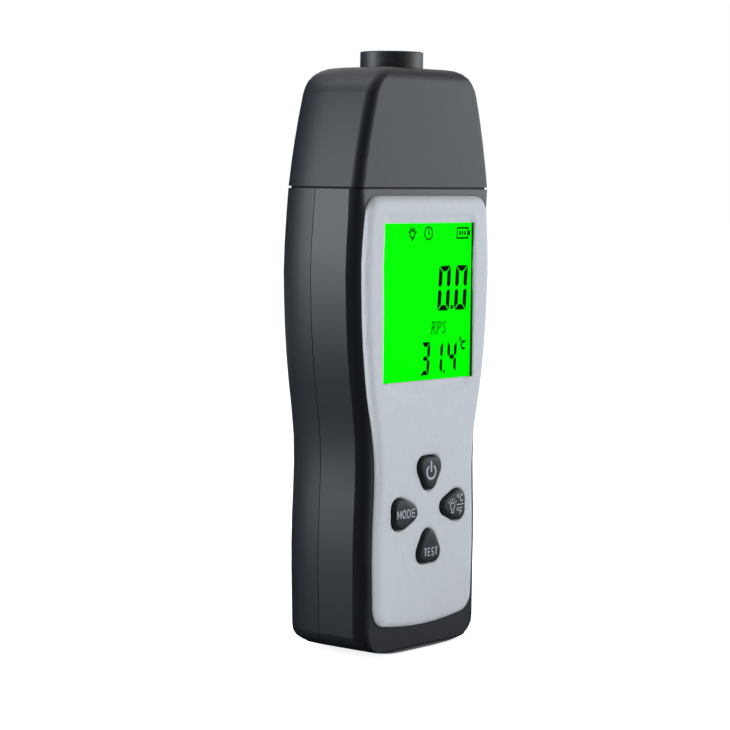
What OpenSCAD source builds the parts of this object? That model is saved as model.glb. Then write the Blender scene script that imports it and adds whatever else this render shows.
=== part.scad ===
// Hand-held digital tachometer with a display, four keys and a round optical barrel.
// It stands upright: X is to its right, the front faces -Y and +Z is up. Lengths are in mm.
// The origin is on the floor under the middle of the part.

/* [Overall] */
// Height of the cap, without the seam under it
cap_h = 26.6; // [22:0.1:32]
// How far the barrel stands above the cap
barrel_rise = 3.8; // [3.2:0.1:12]
// Thickness of the moulded walls
wall = 2; // [1.6:0.1:2.4]
// Free width between the battery bay and the side walls, on each side
side_room = 1.85; // [1.2:0.05:5]

/* [Casing] */
// How far the panel's face stands in front of the casing
panel_rise = 1.4; // [1.2:0.1:2]
// Depth of the front half of the casing, without the panel
front_depth = 12.2; // [11.6:0.1:13]
// Radius of the upright edges at the front
front_r = 2.5; // [2.2:0.1:4]
// How far the rear half curves in towards the back on each side
rear_curve = 4.6; // [4:0.1:5]
// Radius of the arc that the bottom of the casing follows
bottom_r = 80; // [70:1:120]
// Width of the flat foot under the arc
foot_w = 10; // [6:1:14]
// Radius of the two lower corners
corner_r = 3.5; // [3:0.1:5]

/* [Cap] */
// Width of the cap where its sloping sides would meet its top
cap_top_w = 34.5; // [33:0.5:38]
// How far each sloping side bulges at its middle
cap_bow = 0.62; // [0:0.02:1]
// Radius of the cap's top corners, seen from the front
cap_corner_r = 6; // [4:0.5:7]
// Width of the dark gap between the casing and the cap
seam_gap = 0.45; // [0.2:0.05:0.8]

/* [Panel and display] */
// Margin of casing beside the panel, below the waist
margin_low = 4.1; // [3:0.1:5]
// Margin of casing beside the panel, beside the display
margin_high = 3; // [2.6:0.1:4]
// Height of the panel's lower edge
panel_low = 5.9; // [5:0.1:9]
// Height of the panel above the window
panel_head = 6.15; // [5:0.05:9]
// Distance from the panel's upper edge to the seam
panel_top_gap = 1.55; // [1:0.05:2.5]
// Radius of the panel's corners
panel_r = 4.4; // [3:0.1:6]
// Width of the display window
window_w = 31.7; // [26:0.1:38]
// Height of the display window
window_h = 35.1; // [30:0.1:44]

/* [Keys] */
// Length of a key, from its rounded point to its back
key_len = 8.2; // [7:0.1:9]
// Width of a key
key_w = 7.7; // [6.5:0.1:8.5]
// How far a key stands out of the panel
key_rise = 0.9; // [0.6:0.1:1.2]
// Distance from the middle of the cluster to the middle of each key
key_reach = 8.5; // [8:0.1:9.5]
// Height of the cluster's middle above the panel's lower edge
key_height = 26.2; // [23:0.1:32]
// Height of the window's lower edge above the cluster's middle
window_gap = 29.2; // [26:0.1:36]
// Travel of a key
key_travel = 0.5; // [0.3:0.05:0.6]

/* [Barrel] */
// Outer diameter of the barrel above the cap
barrel_d = 14.2; // [12:0.1:17]
// Thickness of the barrel's wall inside the cap
barrel_wall = 1; // [0.8:0.05:1.3]

/* [Batteries] */
// Diameter of a cell
cell_d = 10.5; // [9:0.1:14.5]
// Length of a cell with its terminal
cell_l = 44.5; // [38:0.5:51]
// Thickness of the battery cover
cover_t = 1.8; // [1.5:0.1:2]

/* [Hidden] */
$fn = 48;
overrun = 0.5;
slit = 0.1;
slip = 0.05;

// Stack of parts from the panel's face to the back
slip_fit = 2 * slit;
flange_t = 0.7;
switch_t = 2.9;
board_space = slit + flange_t + key_travel + slip_fit + switch_t;
board_t = 1.6;
board_gap = 1.7;
bay_wall = 1.2;
cell_slack = 0.3;
stem_step = 0.5;
sleeve_t = 1.8;
sleeve_gap = 0.3;
barrel_r = barrel_d / 2;
stem_r = barrel_r - stem_step;
barrel_set = wall + sleeve_gap + sleeve_t + stem_r;
case_d = max(wall + board_space + board_t + board_gap + bay_wall + slip_fit + cell_d + cell_slack + cover_t,
             barrel_set + stem_r + sleeve_t + slit + wall);
depth_all = key_rise + panel_rise + case_d;
key_top_y = -depth_all / 2;
face_y = key_top_y + key_rise;
front_y = face_y + panel_rise;
inner_front_y = front_y + wall;
split_y = front_y + front_depth;
back_y = front_y + case_d;
barrel_y = front_y + barrel_set;

// Stack of parts from the foot to the rim of the barrel
key_mid_z = panel_low + key_height;
window_low = key_mid_z + window_gap;
panel_top = window_low + window_h + panel_head;
seam_h = panel_top + panel_top_gap;
cap_top_h = seam_h + cap_h;
total_h = cap_top_h + barrel_rise;

// Half-width of the casing at heights between the foot and the seam:
// share of the seam's height, share of half the body's width
side_shares = [[0, 0.836], [0.115, 0.852], [0.211, 0.864], [0.288, 0.860], [0.384, 0.842],
               [0.442, 0.842], [0.500, 0.864], [0.557, 0.904], [0.615, 0.940],
               [0.672, 0.968], [0.730, 0.986], [0.788, 0.996], [0.836, 1.000],
               [0.903, 0.984], [0.961, 0.962], [1, 0.946]];
waist_share = 0.842;
display_share = 0.904;
lcd_side = 2;
frame_wall = 1;
frame_room = 1.5;
lcd_w = window_w + 2 * lcd_side + slip;
frame_w = lcd_w + 2 * frame_wall;
cell_count = 3;
cell_pitch = cell_d + slit;
bay_w = cell_count * cell_pitch + slip_fit;
body_w = 2 * max((bay_w / 2 + bay_wall + side_room + wall) / waist_share,
                 (frame_w / 2 + frame_room + wall) / display_share);
base_half = body_w / 2 * side_shares[len(side_shares) - 1][1];
// Where the margin beside the panel narrows, as shares of the seam's height
margin_shares = [0.36, 0.58];
bottom_front_r = 1.2;
bottom_back_r = 4.5;
foot_drop = foot_w * foot_w / (8 * bottom_r);
corner_low = pow(body_w / 2 * side_shares[0][1] - corner_r, 2) / (2 * bottom_r);

// Cap
cap_front_r = 2.5;
cap_back_r = 3.2;
neck_gap = 0.3;
neck_wall = 1.5;
neck_h = 6;
shoulder_h = 2.2;
shoulder_z = seam_h - shoulder_h;
neck_top_z = seam_h + neck_h;
neck_inset = wall + neck_gap;
least_r = 0.3;
arc_steps = 5;
side_rings = 16;

// Panel
panel_back_y = front_y + 0.3 * wall;
panel_fit = 0.1;
rim_w = 2.2;
// Rounded rim of the panel: share of the rim's width, share of its height
rim_shares = [[0, 0], [0, 0.25], [0.10, 0.60], [0.38, 0.88], [0.75, 0.985], [1, 1]];
panel_steps = 24;

// Screws
screw_r = 1;
screw_head_r = 1.75;
screw_head_t = 1.3;
screw_l = 8;
screw_seat = 3;
boss_r = 2.4;
pillar_r = 2.7;
screw_slot = 0.5;
corner_room = 1.2;
case_screw_x = [body_w / 2 * side_shares[0][1] - wall - pillar_r - corner_room,
                base_half - neck_inset - neck_wall - pillar_r - slit];
case_screw_low = 7.6;
board_screw_r = 0.8;
board_screw_head_r = 1.5;
board_screw_head_t = 0.9;
board_screw_l = 5;
board_boss_r = 1.9;

// Battery bay
nub_r = 1.9;
nub_l = 0.8;
spring_l = 3;
contact_t = 0.4;
contact_w = 8;
tab_w = 2;
bay_low = case_screw_low + pillar_r + slit + bay_wall;
bay_l = cell_l + spring_l + 2 * contact_t + cell_slack;
bay_high = bay_low + bay_l;
cover_in_y = back_y - cover_t;
cell_y = cover_in_y - cell_slack - cell_d / 2;
bay_floor_y = cell_y - cell_d / 2 - slip_fit;
wire_r = 0.25;
spring_turns = 2.5;
spring_wide_r = 3.2;
spring_narrow_r = 2.1;
wire_sides = 6;
wire_rings = 8;

// Battery cover with its hinge
cover_gap = 0.2;
cover_w = bay_w - 2 * cover_gap;
cover_lap = 1.5;
cover_top = bay_high + cover_lap;
hinge_y = cover_in_y + cover_t / 2;
hinge_z = bay_low + slit;
hinge_pin_r = 0.5;
hinge_pin_l = 0.9;
tongue_size = [6, 1.2, 1.2];
grip_count = 4;
grip_w = 12;
grip_pitch = 1.6;
grip_cut = 0.7;
grip_depth = 0.35;

// Display
window_drop = 1;
window_lap = 1.1;
window_y = face_y + window_drop;
window_t = panel_back_y - window_y;
window_r = 0.6;
lcd_foot = 3.7;
lcd_head = 1.8;
lcd_low = window_low - lcd_foot;
lcd_top = window_low + window_h + lcd_head;
lcd_t = 1.8;
lcd_y = panel_back_y + slit;
lcd_back_y = lcd_y + lcd_t;
frame_low = lcd_low - 0.4 * frame_wall;
frame_top = lcd_top + 0.4 * frame_wall;
frame_lip = 0.4;
zebra_low = lcd_low + 0.6 * frame_wall;
zebra_t = 2;
divider_z = zebra_low + zebra_t + slit;
guide_low = divider_z + frame_wall + slit;
guide_t = 2.8;
led_size = [3, 0.8, 2];
led_reach_share = 0.25;

// Main board
board_y = inner_front_y + board_space;
board_back_y = board_y + board_t;
board_w = lcd_w + slip_fit;
board_low = case_screw_low + boss_r + 5 * slit;
tongue_w = 18;
tongue_top = neck_top_z;
board_end_z = frame_top + slip;
part_gap = 3;
crystal_size = [11, 3.5, 4.5];
crystal_z = bay_high + bay_wall + part_gap + crystal_size[2] / 2;
chip_size = [10, 1.3, 10];
chip_z = crystal_z + crystal_size[2] / 2 + part_gap;
capacitor_r = 2.5;
capacitor_l = 7;
capacitor_at = [board_w / 2 - part_gap - capacitor_r, crystal_z + capacitor_r];
thermistor_r = 1.2;
thermistor_l = 2.4;
thermistor_at = [capacitor_at[0], chip_z + chip_size[2]];

// Places of the screws that depend on the board
case_screw_high = board_end_z + boss_r + slit;
board_edge = 2.8;
board_screw_x = board_w / 2 - board_edge;
board_screw_low = board_low + board_edge + board_boss_r - board_screw_r;
board_screw_high = frame_low - board_boss_r - 4 * slit;

// Keys, plungers and switches
key_gap = 0.2;
key_lobe_share = 0.13;
key_points = 48;
// Domed top of a key: share of the dome's inset, share of its height
dome_shares = [[0, 0], [0.12, 0.45], [0.42, 0.80], [1, 1]];
dome_h = 0.55;
dome_inset = 1.7;
flange_grow = 0.7;
flange_y = inner_front_y + slit;
flange_back_y = flange_y + flange_t;
switch_w = 6;
switch_y = flange_back_y + key_travel + slip_fit;
plunger_r = 1.7;
plunger_sink = 2;
// Direction of each key from the cluster's middle: power, mode, light, test
key_angles = [90, 180, 0, 270];

// Optics in the cap
bore_r = stem_r - barrel_wall;
header_rise = 2.4;
barrel_low = neck_top_z + header_rise;
lens_step = 0.3;
lens_r = bore_r + lens_step;
lens_t = 1.6;
lens_drop = 1.4;
ring_t = 2;
ring_grow = sleeve_t - slit;
ring_top = cap_top_h - wall - slit;
bracket_t = 4;
bracket_low = barrel_low + 0.6 * bracket_t;
bracket_front = stem_r + sleeve_t - slip_fit;
leg_w = 3;
leg_t = 1.4;
cap_screw_r = 0.8;
cap_screw_head_r = 1.6;
cap_screw_head_t = 1.1;
cap_screw_l = 6;
cap_boss_r = 1.8;
cap_screw_x = stem_r + sleeve_t + cap_boss_r + 3 * slit;
bracket_w = 2 * (cap_screw_x + cap_boss_r + leg_t);
sensor_board_t = 1.2;
sensor_board_w = 2 * (bore_r + 2 * sensor_board_t);
sensor_board_top = barrel_low - slit;
laser_r = bore_r / 2 - sleeve_gap;
laser_l = 12;
diode_r = laser_r - slit;
diode_l = 4.6;
diode_flange_r = laser_r + slit;
eye_x = bore_r - laser_r - slit - slip;
header_pitch = 2.54;
header_pins = 4;
header_t = 2.5;
pin_t = 0.6;

// Smooth value of a table of [place, value] rows at a place t
function slope_at(table, i) =
    let (a = max(i - 1, 0), b = min(i + 1, len(table) - 1))
    (table[b][1] - table[a][1]) / (table[b][0] - table[a][0]);
function row_at(table, t, i = 0) =
    i >= len(table) - 2 || t < table[i + 1][0] ? i : row_at(table, t, i + 1);
function smooth_at(table, t) =
    let (i = row_at(table, t),
         step = table[i + 1][0] - table[i][0],
         u = (t - table[i][0]) / step,
         a = table[i][1], b = table[i + 1][1],
         sa = slope_at(table, i) * step, sb = slope_at(table, i + 1) * step)
    a + u * (sa + u * (3 * (b - a) - 2 * sa - sb + u * (2 * (a - b) + sa + sb)));

// How far a rounded edge of radius r has receded at a height h from its end
function edge_in(h, r) = h >= r ? 0 : r - sqrt(r * r - pow(r - max(h, 0), 2));

function side_half(z) = smooth_at(side_shares, z / seam_h) * body_w / 2;
function body_half(z) = side_half(z) - edge_in(z - corner_low, corner_r);
function margin_at(z) =
    let (u = (z / seam_h - margin_shares[0]) / (margin_shares[1] - margin_shares[0]),
         t = min(max(u, 0), 1))
    margin_low + (margin_high - margin_low) * t * t * (3 - 2 * t);
function panel_half(z) = side_half(z) - margin_at(z);
function cap_half(z) =
    let (u = (z - seam_h) / (cap_top_h - seam_h),
         slope = cap_top_w / 2 - base_half)
    base_half + slope * u + 4 * cap_bow * u * (1 - u);

function arc(cx, cy, rx, ry, from, to, steps) =
    [for (i = [0:steps]) let (a = from + (to - from) * i / steps) [cx + rx * cos(a), cy + ry * sin(a)]];
function mirrored(points) = [for (i = [len(points) - 1:-1:0]) [-points[i][0], points[i][1]]];
function at_z(points, z) = [for (p = points) [p[0], p[1], z]];
function at_y(points, y) = [for (p = points) [p[0], y, p[1]]];

function rear_r(inset) = max(rear_curve - inset, least_r);

// Right half of a section across the casing, from the front to join_y and from join_y to the back
function front_side(half, front, inset, join_y) =
    let (r = max(front_r - inset, least_r))
    concat(arc(half - inset - r, front + inset + r, r, r, -90, 0, arc_steps), [[half - inset, join_y]]);
function rear_side(half, back, inset, join_y) =
    concat([[half - inset, join_y]],
           arc(half - inset - rear_r(inset), split_y, rear_r(inset), back - split_y - inset,
               0, 90, arc_steps + 1));
function front_ring(half, front, inset, join_y) =
    let (side = front_side(half, front, inset, join_y)) concat(side, mirrored(side));
function rear_ring(half, back, inset, join_y) =
    let (side = rear_side(half, back, inset, join_y)) concat(side, mirrored(side));
function whole_ring(half, front, back, inset) =
    let (side = concat(front_side(half, front, inset, split_y),
                       arc(half - inset - rear_r(inset), split_y, rear_r(inset), back - split_y - inset,
                           90 / (arc_steps + 1), 90, arc_steps)))
    concat(side, mirrored(side));

// Heights of the rings of the casing, from one height to another
function body_heights(from, to) =
    concat([from],
           [for (z = [corner_low * 0.3, corner_low * 0.7, corner_low + slip,
                      for (i = [1:4]) corner_low + corner_r * (1 - cos(22.5 * i))]) if (z > from) z],
           [for (i = [1:side_rings]) let (low = corner_low + corner_r) low + (to - low) * i / side_rings]);
function body_front(z) = front_y + edge_in(z, bottom_front_r);
function body_back(z) = back_y - edge_in(z, bottom_back_r);

function cap_in(z, inset, r) = edge_in(cap_top_h - inset - z, max(r - inset, least_r));
function cap_ring(z, inset) =
    whole_ring(cap_half(z) - cap_in(z, inset, cap_corner_r), front_y + cap_in(z, inset, cap_front_r),
               back_y - cap_in(z, inset, cap_back_r), inset);
function cap_heights(from, inset) =
    let (r = max(cap_corner_r - inset, least_r), top = cap_top_h - inset)
    concat([for (i = [0:4]) from + (top - r - from) * i / 4],
           [for (i = [1:6]) top - r + r * sin(15 * i)]);

// Solid between rings of points; the rings run counter-clockwise seen from the last one
module loft(rings) {
    count = len(rings[0]);
    last = len(rings) - 1;
    polyhedron(
        points = [for (ring = rings) each ring],
        faces = concat(
            [[for (i = [0:count - 1]) i]],
            [[for (i = [count - 1:-1:0]) last * count + i]],
            [for (j = [0:last - 1]) for (i = [0:count - 1]) let (n = (i + 1) % count)
                [j * count + i, (j + 1) * count + i, (j + 1) * count + n, j * count + n]]));
}

// Rod along Y from one plane to another
module rod(r, from, to, at) {
    translate([at[0], from, at[1]]) rotate([-90, 0, 0]) cylinder(r = r, h = to - from);
}

// Box between two corners
module box(low, high) {
    translate(low) cube(high - low);
}

// Rounded plate in the XZ plane, from one Y plane to another
module round_plate(w, low, high, from, to, r) {
    translate([0, to, low]) rotate([90, 0, 0]) linear_extrude(to - from)
        polygon(concat(arc(w / 2 - r, r, r, r, -90, 0, 4), arc(w / 2 - r, high - low - r, r, r, 0, 90, 4),
                       arc(r - w / 2, high - low - r, r, r, 90, 180, 4), arc(r - w / 2, r, r, r, 180, 270, 4)));
}

// Everything above the bottom arc, raised by an inset
module above_arc(inset) {
    rod(bottom_r - inset, -depth_all, depth_all, [0, bottom_r - foot_drop]);
}

module front_blank(inset, from, to, join_y) {
    intersection() {
        loft([for (z = body_heights(from, to)) at_z(front_ring(body_half(z), body_front(z), inset, join_y), z)]);
        above_arc(inset);
    }
}

module rear_blank(inset, from, to, join_y) {
    intersection() {
        loft([for (z = body_heights(from, to)) at_z(rear_ring(body_half(z), body_back(z), inset, join_y), z)]);
        above_arc(inset);
    }
}

module front_neck(inset, from, to, join_y) {
    loft([for (z = [from, to]) at_z(front_ring(cap_half(z), front_y, inset, join_y), z)]);
}

module rear_neck(inset, from, to, join_y) {
    loft([for (z = [from, to]) at_z(rear_ring(cap_half(z), back_y, inset, join_y), z)]);
}

// Outline of the panel, drawn in from its edge by an inset
function panel_outline(inset) =
    let (r = panel_r - inset,
         low = panel_low + inset, top = panel_top - inset,
         arc_r = bottom_r - inset,
         corner_x = panel_half(panel_low + panel_r) - inset - r,
         corner_rise = arc_r - sqrt(arc_r * arc_r - corner_x * corner_x),
         top_x = panel_half(panel_top - panel_r) - inset - r,
         side = concat(
             [for (i = [0:3]) let (x = corner_x * i / 4) [x, low + arc_r - sqrt(arc_r * arc_r - x * x)]],
             arc(corner_x, low + corner_rise + r, r, r, asin(corner_x / arc_r) - 90, 0, 5),
             [for (i = [1:panel_steps - 1])
                 let (a = panel_low + panel_r + corner_rise, b = panel_top - panel_r,
                      z = a + (b - a) * i / panel_steps) [panel_half(z) - inset, z]],
             arc(top_x, top - r, r, r, 0, 90, 5)))
    concat(side, [for (i = [len(side) - 1:-1:1]) [-side[i][0], side[i][1]]]);

function key_at(angle) = [key_reach * cos(angle), key_mid_z + key_reach * sin(angle)];

// Outline of a key that points to the cluster's middle, grown by a margin
function key_outline(angle, grow) =
    let (len_r = key_len / 2 + grow, wide_r = (key_w / 2 + grow) / (1 + key_lobe_share / 2),
         mid = key_at(angle))
    [for (i = [0:key_points - 1])
        let (t = 360 * i / key_points, r = 1 - key_lobe_share * cos(3 * t),
             u = len_r * (r * cos(t) + key_lobe_share),
             v = wide_r * r * sin(t))
        [mid[0] + u * cos(angle) - v * sin(angle), mid[1] + u * sin(angle) + v * cos(angle)]];

module key_prism(angle, grow, from, to) {
    translate([0, to, 0]) rotate([90, 0, 0]) linear_extrude(to - from) polygon(key_outline(angle, grow));
}

module key_holes(from, to) {
    for (angle = key_angles) key_prism(angle, key_gap, from, to);
}

module button(angle) {
    dome_y = key_top_y + dome_h;
    loft(concat([at_y(key_outline(angle, 0), flange_y)],
                [for (s = dome_shares) at_y(key_outline(angle, -dome_inset * s[0]), dome_y - dome_h * s[1])]));
    key_prism(angle, flange_grow, flange_y, flange_back_y);
}

module plunger(angle) {
    rod(plunger_r, flange_back_y, switch_y + plunger_sink, key_at(angle));
}

module tact_switch(angle) {
    at = key_at(angle);
    half = switch_w / 2;
    difference() {
        box([at[0] - half, switch_y, at[1] - half], [at[0] + half, board_y, at[1] + half]);
        rod(plunger_r + slip, switch_y - overrun, board_y - slit, at);
    }
}

// Places of the case screws and of the board screws
function case_screws_at() = [for (x = [-1, 1]) each [[x * case_screw_x[0], case_screw_low],
                                                     [x * case_screw_x[1], case_screw_high]]];
function board_screws_at() = [for (x = [-1, 1]) for (z = [board_screw_low, board_screw_high])
                              [x * board_screw_x, z]];

module screw(r, head_r, head_t, length, seat, at) {
    difference() {
        union() {
            rod(r, seat - length, seat, at);
            rod(head_r, seat, seat + head_t, at);
        }
        for (turn = [0, 90]) translate([at[0], seat + head_t, at[1]]) rotate([0, turn, 0])
            cube([1.3 * head_r, head_t, screw_slot], center = true);
    }
}

module front_case() {
    seam = seam_h - seam_gap / 2;
    tip = split_y + screw_seat - screw_l - slit;
    color("#2c2e31") difference() {
        union() {
            difference() {
                union() {
                    front_blank(0, 0, seam, split_y);
                    front_neck(neck_inset, shoulder_z, neck_top_z, split_y);
                }
                front_blank(wall, wall, shoulder_z, split_y + overrun);
                front_neck(neck_inset + neck_wall, shoulder_z - overrun, neck_top_z + overrun,
                           split_y + overrun);
            }
            for (at = case_screws_at()) rod(boss_r, inner_front_y - overrun, split_y, at);
            for (at = board_screws_at()) rod(board_boss_r, inner_front_y - overrun, board_y, at);
        }
        translate([0, panel_back_y, 0]) rotate([90, 0, 0]) linear_extrude(panel_rise + wall)
            polygon(panel_outline(-panel_fit));
        box([-lcd_w / 2 - slit, front_y - overrun, lcd_low - slit],
            [lcd_w / 2 + slit, inner_front_y + overrun, lcd_top + slit]);
        key_holes(front_y - overrun, inner_front_y + overrun);
        for (at = case_screws_at()) rod(screw_r + slip, tip, split_y + overrun, at);
        for (at = board_screws_at()) rod(board_screw_r + slip, inner_front_y - overrun / 2,
                                         board_y + overrun, at);
    }
}

module rear_case() {
    seam = seam_h - seam_gap / 2;
    seat = split_y + screw_seat;
    outer = bay_w / 2 + bay_wall;
    color("#232427") difference() {
        union() {
            difference() {
                union() {
                    rear_blank(0, 0, seam, split_y);
                    rear_neck(neck_inset, shoulder_z, neck_top_z, split_y);
                }
                rear_blank(wall, wall, shoulder_z, split_y - overrun);
                rear_neck(neck_inset + neck_wall, shoulder_z - overrun, neck_top_z + overrun,
                          split_y - overrun);
            }
            box([-outer, bay_floor_y - bay_wall, bay_low - bay_wall],
                [outer, back_y - wall + slip, bay_high + bay_wall]);
            for (at = case_screws_at()) rod(pillar_r, split_y, back_y - wall + slip, at);
        }
        box([-bay_w / 2, bay_floor_y, bay_low], [bay_w / 2, back_y, bay_high]);
        box([-bay_w / 2, cover_in_y - slit, hinge_z - cover_t / 2 - slit],
            [bay_w / 2, back_y + overrun, cover_top + cover_gap]);
        for (tab = [[cell_x(0), bay_low], [cell_x(1), bay_low],
                    [cell_x(0), bay_high - contact_t], [cell_x(2), bay_high - contact_t]])
            box([tab[0] - tab_w / 2 - slit, bay_floor_y - bay_wall - overrun, tab[1] - slip],
                [tab[0] + tab_w / 2 + slit, bay_floor_y + overrun, tab[1] + contact_t + slip]);
        translate([-bay_w / 2 - hinge_pin_l - slit, hinge_y, hinge_z]) rotate([0, 90, 0])
            cylinder(r = hinge_pin_r + slip, h = bay_w + 2 * hinge_pin_l + 2 * slit);
        for (at = case_screws_at()) {
            rod(screw_r + 2 * slip, split_y - overrun, back_y, at);
            rod(screw_head_r + slit, seat, back_y + overrun, at);
        }
    }
}

module sensor_cap() {
    low = seam_h + seam_gap / 2;
    color("#2c2e31") difference() {
        loft([for (z = cap_heights(low, 0)) at_z(cap_ring(z, 0), z)]);
        loft([for (z = cap_heights(low - overrun, wall)) at_z(cap_ring(z, wall), z)]);
        translate([0, barrel_y, cap_top_h - 2 * wall]) cylinder(r = stem_r + slip, h = 3 * wall);
        for (x = [-cap_screw_x, cap_screw_x]) {
            rod(cap_screw_r + slip, barrel_y, back_y + overrun, [x, bracket_low + bracket_t / 2]);
            rod(cap_screw_head_r + slip, back_y - cap_screw_head_t, back_y + overrun,
                [x, bracket_low + bracket_t / 2]);
        }
    }
}

module faceplate() {
    rise = panel_back_y - face_y;
    color("#b4bac2") difference() {
        loft([for (s = rim_shares) at_y(panel_outline(rim_w * s[0]), panel_back_y - rise * s[1])]);
        box([-window_w / 2, face_y - overrun, window_low], [window_w / 2, panel_back_y, window_low + window_h]);
        box([-window_w / 2 - window_lap, window_y, window_low - window_lap],
            [window_w / 2 + window_lap, panel_back_y + overrun, window_low + window_h + window_lap]);
        key_holes(face_y - overrun, panel_back_y + overrun);
    }
}

module display_window() {
    lap = window_lap - slit;
    color("#dfe8e4", 0.4) round_plate(window_w + 2 * lap, window_low - lap, window_low + window_h + lap,
                                      window_y, window_y + window_t, window_r);
}

module lcd_cell() {
    color("#35c21c") box([-lcd_w / 2, lcd_y, lcd_low], [lcd_w / 2, lcd_back_y, lcd_top]);
}

module lcd_backlight() {
    half = lcd_w / 2 - frame_lip - slit;
    color("#9fe88a") box([-half, lcd_back_y + slit, guide_low],
                         [half, lcd_back_y + slit + guide_t, lcd_top - slit]);
}

module lcd_frame() {
    half = lcd_w / 2 - frame_lip;
    color("#1e1f21") difference() {
        box([-frame_w / 2, lcd_back_y, frame_low], [frame_w / 2, board_y, frame_top]);
        box([-half, lcd_back_y - overrun, guide_low - slit], [half, board_y + overrun, lcd_top]);
        box([-half, lcd_back_y - overrun, zebra_low - slit], [half, board_y + overrun, zebra_low + zebra_t + slit]);
    }
}

module zebra_strip() {
    half = lcd_w / 2 - frame_lip - slit;
    color("#6d5a66") box([-half, lcd_back_y, zebra_low], [half, board_y, zebra_low + zebra_t]);
}

module backlight_leds() {
    for (x = [-1, 1]) color("#f2f0da")
        translate([x * led_reach_share * lcd_w, board_y - led_size[1] / 2, guide_low + led_size[2]])
            cube(led_size, center = true);
}

module main_board() {
    color("#1d6b3f") difference() {
        union() {
            box([-board_w / 2, board_y, board_low], [board_w / 2, board_back_y, board_end_z]);
            box([-tongue_w / 2, board_y, board_end_z - overrun], [tongue_w / 2, board_back_y, tongue_top]);
        }
        for (at = board_screws_at())
            rod(board_screw_r + slip, board_y - overrun, board_back_y + overrun, at);
    }
}

module controller_chip() {
    color("#19191b") translate([-chip_size[0] / 2, board_back_y, chip_z]) cube(chip_size);
}

module crystal_can() {
    r = crystal_size[2] / 2;
    color("#b9bcc0") translate([0, board_back_y + crystal_size[1], crystal_z]) rotate([90, 0, 0])
        linear_extrude(crystal_size[1])
            polygon(concat(arc(crystal_size[0] / 2 - r, 0, r, r, -90, 90, 12),
                           arc(r - crystal_size[0] / 2, 0, r, r, 90, 270, 12)));
}

module filter_capacitor() {
    color("#26364f") rod(capacitor_r, board_back_y, board_back_y + capacitor_l, capacitor_at);
}

module thermistor() {
    color("#2f6f5c") rod(thermistor_r, board_back_y, board_back_y + thermistor_l, thermistor_at);
}

// Middle of a cell, counted from 0 at the left
function cell_x(i) = (i - 1) * cell_pitch;

module battery(i, up) {
    can_l = cell_l - nub_l;
    low = up ? bay_low + contact_t + spring_l + cell_slack / 2 : bay_low + contact_t + cell_slack / 2 + nub_l;
    color("#c9a227") translate([cell_x(i), cell_y, low]) {
        cylinder(d = cell_d, h = can_l);
        if (up) cylinder(r = nub_r, h = cell_l);
        else translate([0, 0, -nub_l]) cylinder(r = nub_r, h = cell_l);
    }
}

// Conical contact spring: place on its coil at a share t of its turns, dr away from the wire's middle
spring_rings = spring_turns * wire_rings;
spring_rise = spring_l + cell_slack / 2 - 2 * wire_r - slit;
function coil_at(t, dr, dz) =
    let (a = 360 * spring_turns * t, r = spring_wide_r + (spring_narrow_r - spring_wide_r) * t + dr)
    [r * cos(a), r * sin(a), spring_rise * t + dz];
coil_gap = min([for (i = [0:spring_rings]) for (j = [i + wire_rings / 2:spring_rings])
                norm(coil_at(i / spring_rings, 0, 0) - coil_at(j / spring_rings, 0, 0))]) - 2 * wire_r;
echo(least_gap_between_curls = coil_gap);

// The wide end stands on a plate; up says that it is the lower one
module contact_spring(i, up) {
    base = up ? bay_low + contact_t + wire_r + slip : bay_high - contact_t - wire_r - slip;
    color("#c4c7cb") translate([cell_x(i), cell_y, base]) mirror([0, 0, up ? 0 : 1]) loft(
        [for (j = [0:spring_rings]) [for (k = [0:wire_sides - 1]) let (b = -360 * k / wire_sides)
            coil_at(j / spring_rings, wire_r * cos(b), wire_r * sin(b))]]);
}

// Contact plate over the cells from first to last, with its solder tab
module contact(first, last, z) {
    half = contact_w / 2;
    color("#b8bbc0") {
        box([cell_x(first) - half, cell_y - half, z], [cell_x(last) + half, cell_y + half, z + contact_t]);
        box([cell_x(first) - tab_w / 2, board_back_y, z], [cell_x(first) + tab_w / 2, cell_y, z + contact_t]);
    }
}

module battery_cover() {
    half = cover_w / 2;
    color("#2a2b2e") difference() {
        union() {
            box([-half, cover_in_y, hinge_z], [half, back_y, cover_top]);
            translate([-half, hinge_y, hinge_z]) rotate([0, 90, 0]) cylinder(d = cover_t, h = cover_w);
            translate([-half - hinge_pin_l, hinge_y, hinge_z]) rotate([0, 90, 0])
                cylinder(r = hinge_pin_r, h = cover_w + 2 * hinge_pin_l);
            translate([-tongue_size[0] / 2, cover_in_y - tongue_size[1], bay_high - tongue_size[2] - cover_gap])
                cube([tongue_size[0], tongue_size[1] + slip, tongue_size[2]]);
        }
        for (i = [0:grip_count - 1]) translate([-grip_w / 2, back_y - grip_depth,
                                                cover_top - 3 * grip_pitch - i * grip_pitch])
            cube([grip_w, grip_depth + overrun, grip_cut]);
    }
}

module lens_barrel() {
    lens_seat = total_h - lens_drop - lens_t;
    color("#17181a") translate([0, barrel_y, 0]) difference() {
        union() {
            translate([0, 0, barrel_low]) cylinder(r = stem_r, h = cap_top_h - barrel_low + overrun);
            translate([0, 0, cap_top_h]) cylinder(r = barrel_r, h = total_h - cap_top_h);
        }
        translate([0, 0, barrel_low - overrun]) cylinder(r = bore_r, h = total_h);
        translate([0, 0, lens_seat]) cylinder(r = lens_r + slip, h = total_h);
    }
}

module front_lens() {
    color("#7a2030", 0.6) translate([0, barrel_y, total_h - lens_drop - lens_t]) cylinder(r = lens_r, h = lens_t);
}

module barrel_ring() {
    color("#3a3b3e") translate([0, barrel_y, ring_top - ring_t]) difference() {
        cylinder(r = stem_r + ring_grow, h = ring_t);
        translate([0, 0, -overrun]) cylinder(r = stem_r + slip, h = ring_t + 2 * overrun);
    }
}

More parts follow.
